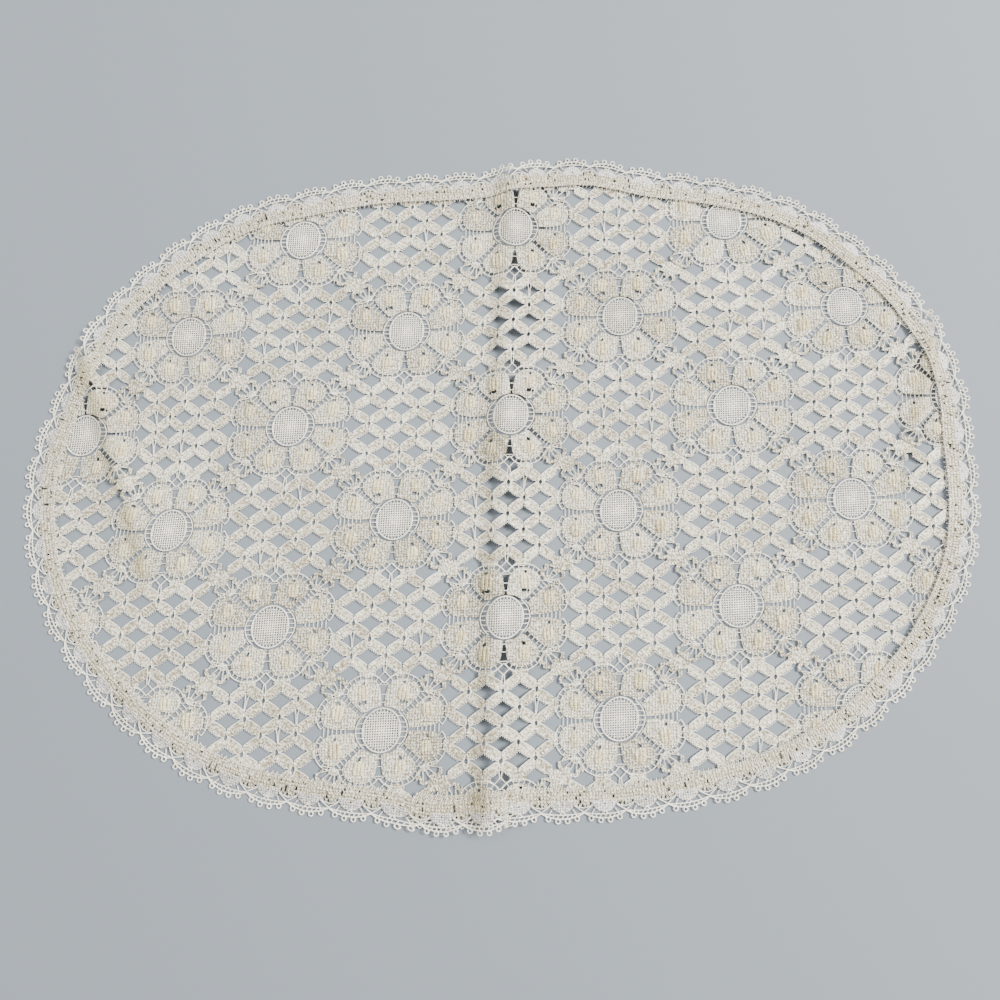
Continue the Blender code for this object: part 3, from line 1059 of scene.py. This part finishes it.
def flower_threads():
    threads = Threads()
    outer_ladder(threads, BACK_PETAL, 354, 157, BACK_SPOT)
    outer_ladder(threads, SIDE_PETAL, 313, 101, SIDE_SPOT)
    valley_rungs(threads, (8.6, 6.0), (16.0, 13.0), (0.0, 0.22, 0.44, 0.66, 0.84, 1.0), 0.6, 1.3)
    for angle in (6, 20, 40):
        threads.run([ellipse_point(RING_HALF, angle), ellipse_point(OUTER_RING_HALF, angle * 0.9)], 1.0)
    threads.run([ellipse_point(OUTER_RING_HALF, angle) for angle in (0, 12, 25, 38, 50)], OUTLINE_THICKNESS)
    for angle in (52, 63, 74, 85):
        threads.run([ellipse_point(NET_HALF, angle), ellipse_point(RING_HALF, angle)], RUNG_THICKNESS)
    # The crossing cords past the end of the back valley.
    threads.run([(0.0, 18.3, 0.5), (2.3, 20.6, 0.55), (0.0, 22.9, 0.5)], OUTLINE_THICKNESS)
    threads.run([(2.3, 20.6, 0.5), (4.2, 21.9, 0.5), (6.2, 22.7, 0.5)], OUTLINE_THICKNESS)
    threads.run([(0.3, 22.8, 0.5), (0.6, 25.2, 0.5), (0.45, 27.6, 0.5)], OUTLINE_THICKNESS)
    threads.mirrored(True, False)
    threads.mirrored(False, True)
    ring_points = [ellipse_point(RING_HALF, angle, 0.6) for angle in range(0, 360, 12)]
    threads.run(ring_points, RING_THICKNESS, closed=True)
    side_shares = (0.0, 0.2, 0.4, 0.6, 0.8, 1.0)
    for side in (-1, 1):
        valley_rungs(threads, (0.0, side * 10.8), (0.0, side * 17.6), (0.0, 0.45, 1.0), 0.8, 1.6)
        valley_rungs(threads, (side * 14.2, 0.0), (side * 22.6, 0.0), side_shares, 0.7, 1.8)
    return threads


flower_cords = laid_copies("flower_cords", flower_threads().spun("flower_cord"), flowers, seed=71)

# %% [markdown]
# ## Joins between neighbouring flowers
#
# On the slant between two flowers sits a small arch of cloth. From the mouth of each flower's slanting
# valley a web fans out to meet it: cloth where the weft was beaten up, with a ring of pinholes near the
# mouth, long holes past them, and threads that run out between the holes like a spider's legs. One join
# is charted at the right of a mesh and mirrored for the left.

# %% Joins
JOIN_AT = (FLOWER_PITCH / 4, ROW_RISE / 2)
ARCH_HALF = (4.9, 2.3)
ARCH_TURN = math.radians(22)
WEB_MOUTH = np.array([6.9, -7.5])
WEB_ANGLES = (192, 180, 168, 156, 144, 132, 120, 108, 96, 84, 72, 60)
WEB_REACH = (5.6, 6.7, 8.0, 8.6, 8.4, 8.2, 8.0, 7.9, 7.8, 7.3, 6.5, 5.3)
WEB_SHARES = (0.14, 0.34, 0.64, 0.84, 1.0)
WEB_HOLES = ((1, 3, 5, 7, 9), tuple(range(10)), (2, 3, 6, 7, 10), (0, 1, 9))  # open cells, row by row outward
SHORT_LEGS = (1, 3, 5, 7, 9)  # the other legs run on as spokes between two holes
SHORT_LEG_END = 0.36  # just past the cord that ties the legs together


def arch_sheet(name, flip):
    points = []
    stations = np.linspace(-1, 1, 9)
    for share in stations:
        for across in BAR_ACROSS:
            along = share * ARCH_HALF[0]
            side = across * (0.25 + ARCH_HALF[1] * (1 - share**2) ** 0.55)
            x = along * math.cos(ARCH_TURN) - side * math.sin(ARCH_TURN)
            y = along * math.sin(ARCH_TURN) + side * math.cos(ARCH_TURN)
            points.append((x, y, 0.5 + 0.22 * (1 - across**2)))
    faces = grid_faces(len(stations), len(BAR_ACROSS))
    turn = -ARCH_TURN if flip else ARCH_TURN
    return sheet_motif(name, *mirrored(points, faces, flip), turn, BAR_WEAVE_SCALE)


def web_point(leg, share, height):
    """A point of the lower right web, on one of its legs."""
    angle, reach = math.radians(WEB_ANGLES[leg]), WEB_REACH[leg] * share
    return (WEB_MOUTH[0] + reach * math.cos(angle), WEB_MOUTH[1] + reach * math.sin(angle), height)


def web_sheet(name, flip_x, flip_y):
    points = [web_point(leg, share, 0.46) for leg in range(len(WEB_ANGLES)) for share in WEB_SHARES]
    faces = []
    for face in grid_faces(len(WEB_ANGLES), len(WEB_SHARES)):
        leg, row = divmod(face[0], len(WEB_SHARES))
        if leg not in WEB_HOLES[row]:
            faces.append(face[::-1])
    return sheet_motif(name, *mirrored(points, faces, flip_x, flip_y))


def web_threads(flip):
    """The legs of both webs of a join, and the cord that ties each web's legs."""
    threads = Threads()
    for leg in range(len(WEB_ANGLES)):
        end = SHORT_LEG_END if leg in SHORT_LEGS else 1.0
        threads.run([web_point(leg, share, 0.56) for share in (0.05, end / 2, end)], 1.0)
    threads.run([web_point(leg, WEB_SHARES[1], 0.6) for leg in range(0, len(WEB_ANGLES), 2)], 0.9)
    threads.mirrored(True, True)
    if flip:
        threads.swap_sides()
    return threads


right_joins = around(mesh_centres, [JOIN_AT], 8.0)
left_joins = around(mesh_centres, [(-JOIN_AT[0], JOIN_AT[1])], 8.0)
join_meshes, leg_meshes = [], []
for side, places, flip in (("right", right_joins, False), ("left", left_joins, True)):
    seed = 89 if flip else 83
    join_meshes.append(laid_copies(f"{side}_arches", arch_sheet("arch", flip), places, seed=seed, **JITTER))
    for number, (flip_x, flip_y) in enumerate(((flip, False), (not flip, True))):
        web = web_sheet(f"{side}_web_{number}", flip_x, flip_y)
        join_meshes.append(laid_copies(f"{side}_webs_{number}", web, places, seed=seed + number))
    leg_meshes.append(laid_copies(f"{side}_legs", web_threads(flip).spun("legs"), places, seed=seed))
print(len(right_joins) + len(left_joins), "joins")

# %% The panel's pieces
def panel_piece(name, meshes, material, cloth=False):
    """Joins flat meshes, lays them on the doily and gives them their cotton."""
    mesh = joined(name, [meshes])
    lay_panel(mesh)
    add_stains_and_shade(mesh)
    return finished(name, mesh, material, cloth=cloth)


panel_cloth = panel_piece("panel_cloth", petal_meshes + bar_meshes, WOVEN, cloth=True)
join_cloth = panel_piece("join_cloth", join_meshes + lobe_meshes, WOVEN, cloth=True)
raised_spots = panel_piece("raised_threads", [spots], RAISED)
net_centres = panel_piece("net_threads", [nets], OUTLINE)
bar_cords = panel_piece("bar_threads", [*bar_cord_meshes, node_mesh, stray_mesh], OUTLINE)
cords = panel_piece("flower_threads", [flower_cords, *leg_meshes], OUTLINE)

# %% [markdown]
# ## The edging's cloth
#
# The strip is one continuous lace. Along its inner half runs the footing, a close band that is sewn
# over the panel's cut edge, crumpled and pricked with small holes. From it hangs one half-round fan
# for each scallop. Both are charted with the walk along the scallop tips as x and the distance inward
# as y, so the same chart can follow any edge. The strip runs on past its own start and laps over it.

# %% Fans
FAN_COLUMNS = (-5.1, -4.4, -3.3, -2.1, -1.0, -0.4, 0.4, 1.0, 2.1, 3.3, 4.4, 5.1)
FAN_ROWS = 5
FAN_FOOT = 8.9
FAN_HALF, FAN_REACH = 5.2, 4.9
LAPPED_SCALLOPS = 2


def fan_sheet(name):
    points = []
    for u in FAN_COLUMNS:
        outer = FAN_FOOT - FAN_REACH * math.sqrt(1 - (u / FAN_HALF) ** 2)
        for share in np.linspace(0, 1, FAN_ROWS + 1):
            points.append((u, outer + (FAN_FOOT - outer) * share, 0.5 + 0.25 * math.sin(math.pi * share)))
    pinhole = FAN_COLUMNS.index(-0.4) * (FAN_ROWS + 1) + 3
    faces = [face for face in grid_faces(len(FAN_COLUMNS), FAN_ROWS + 1) if face[0] != pinhole]
    return sheet_motif(name, points, faces)


scallop_walks = [(number + 0.5) * SCALLOP for number in range(SCALLOPS + LAPPED_SCALLOPS)]
scallop_places = [(walk, 0.0) for walk in scallop_walks]
fans = laid_copies("fans", fan_sheet("fan"), scallop_places, seed=101)
print(len(scallop_walks), "fans of", FAN_HALF * 2, "mm")

# %% Footing
FOOTING_ROWS = (7.5, 8.4, 9.3, 10.4, 11.5, 12.6, 13.4)
CELLS_A_SCALLOP = 20
VALLEY_DIP = 1.3  # how much lower the footing reaches between two fans
PIN_SHARE = 0.05


def footing_sheet(name):
    rng = np.random.default_rng(7)
    cells = CELLS_A_SCALLOP * (SCALLOPS + LAPPED_SCALLOPS)
    cell = SCALLOP / CELLS_A_SCALLOP
    points = []
    for column in range(cells + 1):
        in_valley = eased((abs(column * cell % SCALLOP - SCALLOP / 2) - 4.4) / 2.0)
        for row, inward in enumerate(FOOTING_ROWS):
            stray = rng.uniform(-1, 1, 3) * (0.16, 0.14, 0.16)
            dip = VALLEY_DIP * max(0.0, 1 - 0.4 * row) * in_valley
            points.append((column * cell + stray[0], inward - dip + stray[1], 0.55 + stray[2]))
    faces = []
    for face in grid_faces(cells + 1, len(FOOTING_ROWS)):
        column, row = divmod(face[0], len(FOOTING_ROWS))
        from_middle = abs((column + 0.5) * cell % SCALLOP - SCALLOP / 2)
        in_slits = row == 0 and from_middle > 5.2 and column % 2
        pricked = 0 < row < 5 and rng.random() < PIN_SHARE * (2.0 if from_middle > 5 else 1.0)
        if not in_slits and not pricked:
            faces.append(face)
    return sheet_motif(name, points, faces)


footing = footing_sheet("footing")
edging_mesh = joined("edging_cloth", [fans, footing])
lay_edging(edging_mesh)
add_stains_and_shade(edging_mesh)
edging_cloth = finished("edging_cloth", edging_mesh, FAN, FOOTING, cloth=True)

# %% [markdown]
# ## The edging's threads
#
# Outside the fans two cords run round the scallop, tied by rungs. The outer one carries four picots,
# little round loops, and a pair of legs props each fan on the inner one. In the valley between two
# scallops the threads cross and run up to the neighbouring fans. One scallop is charted and repeated.

# %% Threads of one scallop
PICOTS = (-5.7, -1.9, 1.9, 5.7)
PICOT_RADIUS = 0.9
HALF_SCALLOP = SCALLOP / 2


def outer_cord_at(u):
    return 1.65 + 2.2 * (u / HALF_SCALLOP) ** 2


def inner_cord_at(u):
    return 3.15 + 0.8 * (u / HALF_SCALLOP) ** 2


def scallop_threads():
    threads = Threads()
    across = np.linspace(-HALF_SCALLOP, HALF_SCALLOP, 13)
    threads.run([(u, outer_cord_at(u), 0.5) for u in across], 1.45)
    threads.run([(u, inner_cord_at(u), 0.5) for u in across[::2]], 1.3)
    for u in PICOTS:
        middle = outer_cord_at(u) - PICOT_RADIUS
        circle = [math.radians(angle) for angle in range(0, 360, 45)]
        loop = [(u + PICOT_RADIUS * math.cos(a), middle + PICOT_RADIUS * math.sin(a), 0.5) for a in circle]
        threads.run(loop, 1.6, closed=True)
    for u in (-7.2, -5.4, -3.7, -1.9, 0.0, 1.9, 3.7, 5.4, 7.2):
        threads.run([(u - 0.3, outer_cord_at(u), 0.55), (u + 0.3, inner_cord_at(u), 0.55)], 1.15)
    for side in (-1, 1):
        threads.run([(0.0, 4.5, 0.55), (side * 1.4, inner_cord_at(1.4), 0.55)], 1.2)
        threads.run([(side * 4.1, 5.4, 0.55), (side * 5.4, inner_cord_at(5.4), 0.55)], 1.15)
        crossing = ((6.2, 2.5), (HALF_SCALLOP, 4.2), (SCALLOP - 4.9, 6.7))
        threads.run([(side * u, v, 0.6) for u, v in crossing], 1.3)
        threads.run([(side * 6.6, 6.1, 0.55), (side * HALF_SCALLOP, 5.7, 0.55)], 1.1)
        threads.run([(side * 4.7, 7.2, 0.5), (side * 6.6, 6.1, 0.5), (side * 7.6, 7.6, 0.5)], 1.1)
    return threads


scallops = laid_copies("scallops", scallop_threads().spun("scallop"), scallop_places, seed=107)

# %% The toothed inner edge
TOOTH_PITCH = 0.9


def inner_edge_threads():
    rng = np.random.default_rng(13)
    threads = Threads()
    length = SCALLOP * (SCALLOPS + LAPPED_SCALLOPS)
    count = int(length / TOOTH_PITCH) * 2
    walk = np.linspace(0, length, count)
    out = np.where(np.arange(count) % 2, 13.95, 13.2) + rng.uniform(-0.25, 0.25, count)
    threads.run(np.stack([walk, out, 0.5 + rng.uniform(-0.1, 0.1, count)], axis=1), 1.1)
    return threads


inner_edge = inner_edge_threads().spun("inner_edge")

# %% [markdown]
# ## Sewing
#
# Small slanting stitches hold the footing down on the panel. At the join the strip's last two scallops
# lie over its first two, and both cut ends have frayed: a few threads of each have come loose.

# %% Stitches
STITCH_PITCH = 2.2
STITCH = ((-0.55, 12.0, 0.35), (-0.3, 12.5, 0.72), (0.2, 13.6, 0.74), (0.5, 14.4, -0.35))


def sewing_threads():
    threads = Threads()
    threads.run(STITCH, 0.8)
    return threads


# %% Frayed ends
FRAY_PITCH = 0.55


def frayed_threads():
    """The strip's two cut ends: short loose threads that point along it."""
    rng = np.random.default_rng(29)
    threads = Threads()
    for end, way in ((0.0, -1), (EDGE_LENGTH + LAPPED_SCALLOPS * SCALLOP, 1)):
        for inward in np.arange(1.8, 13.0, FRAY_PITCH):
            out, stray = rng.uniform(0.6, 2.8), rng.uniform(-1.0, 0.6)
            root = (end - way * 0.5, inward, 0.5)
            middle = (end + way * out * 0.5, inward + stray * 0.3, 0.6)
            tip = (end + way * out, inward + stray, 0.45)
            threads.run([root, middle, tip], 0.9)
    return threads


frayed = frayed_threads().spun("frayed")
stitch_walks = np.arange(0, EDGE_LENGTH + LAPPED_SCALLOPS * SCALLOP, STITCH_PITCH)
stitch_places = [(walk, 0.0) for walk in stitch_walks]
stitches = laid_copies("stitches", sewing_threads().spun("stitch"), stitch_places, seed=113)
edging_mesh = joined("edging_threads", [[scallops, inner_edge, stitches, frayed]])
lay_edging(edging_mesh)
add_stains_and_shade(edging_mesh)
edging_threads = finished("edging_threads", edging_mesh, OUTLINE, cloth=False)
print(len(stitch_walks), "stitches")

# %% [markdown]
# ## What each piece stands for
#
# Every piece moves with the root. The panel's cloth and threads take the place of the frame's panel
# solid, and the edging's cloth and threads that of its edging solid; both solids are hidden.


panel_threads = [join_cloth, raised_spots, net_centres, bar_cords, cords]
for piece in [panel_cloth, *panel_threads]:
    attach(piece, "root")
    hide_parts("lace_panel")
for piece in (edging_cloth, edging_threads):
    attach(piece, "root")
    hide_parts("lace_edging")

# %% [markdown]
# ## Floor, light and camera
#
# The doily lies on a plain grey board. One soft light from the right models the relief, a broader and
# weaker one from the back left keeps the shadows in the holes open, and the world adds a little even
# light. The camera looks almost straight down from 0.3 m above, turned slightly.

# %% Floor
def plain_paint(name, hex_colour, roughness):
    """Smooth matt painted board, which gives the eye nothing but a tone."""
    material = bpy.data.materials.new(name)
    material.use_nodes = True
    shader = material.node_tree.nodes["Principled BSDF"]
    shader.inputs["Base Color"].default_value = linear(hex_colour)
    shader.inputs["Roughness"].default_value = roughness
    return material


HALF_FLOOR = 2.0  # metres
corners = [(x * HALF_FLOOR, y * HALF_FLOOR, 0.0) for x, y in ((-1, -1), (1, -1), (1, 1), (-1, 1))]
floor_mesh = bpy.data.meshes.new("floor")
floor_mesh.from_pydata(corners, [], [(0, 1, 2, 3)])
floor_mesh.materials.append(plain_paint("matt painted board", "#757D86", 0.9))
floor = in_scene("floor", floor_mesh)


# %% Lights
def soft_light(name, place, size, power, colour):
    """A rectangular soft box at a place, turned toward the doily."""
    data = bpy.data.lights.new(name, "AREA")
    data.shape = "RECTANGLE"
    data.size, data.size_y = size
    data.energy = power
    data.color = linear(colour)[:3]
    light = in_scene(name, data)
    light.location = place
    light.rotation_euler = mathutils.Vector(place).to_track_quat("Z", "Y").to_euler()


soft_light("key", (1.2, 0.3, 1.2), (0.7, 0.5), 95.0, "#FFFCF5")
soft_light("fill", (-0.9, 0.7, 1.6), (1.2, 1.2), 26.0, "#FAFAFA")
world = bpy.data.worlds.new("world")
world.use_nodes = True
world.node_tree.nodes["Background"].inputs["Color"].default_value = linear("#F8F7F5")
world.node_tree.nodes["Background"].inputs["Strength"].default_value = 0.8
bpy.context.scene.world = world

# %% Camera
AIM = np.array([-2.1, -11.1]) + CENTRE_SHIFT
TOP_OF_VIEW = np.array([0.0488, 0.9988])
CAMERA_BACK, CAMERA_HIGH = 49.8, 314.0
LENS_MM = 27.04
eye = mathutils.Vector((*(AIM - TOP_OF_VIEW * CAMERA_BACK), CAMERA_HIGH)) * MM
back = (eye - mathutils.Vector((*AIM, 0.0)) * MM).normalized()
right = mathutils.Vector((*TOP_OF_VIEW, 0.0)).cross(back).normalized()
camera_data = bpy.data.cameras.new("camera")
camera_data.lens = LENS_MM
camera_data.sensor_width = 36.0
camera = in_scene("camera", camera_data)
facing = mathutils.Matrix((right, back.cross(right), back)).transposed().to_4x4()
camera.matrix_world = mathutils.Matrix.Translation(eye) @ facing
bpy.context.scene.camera = camera
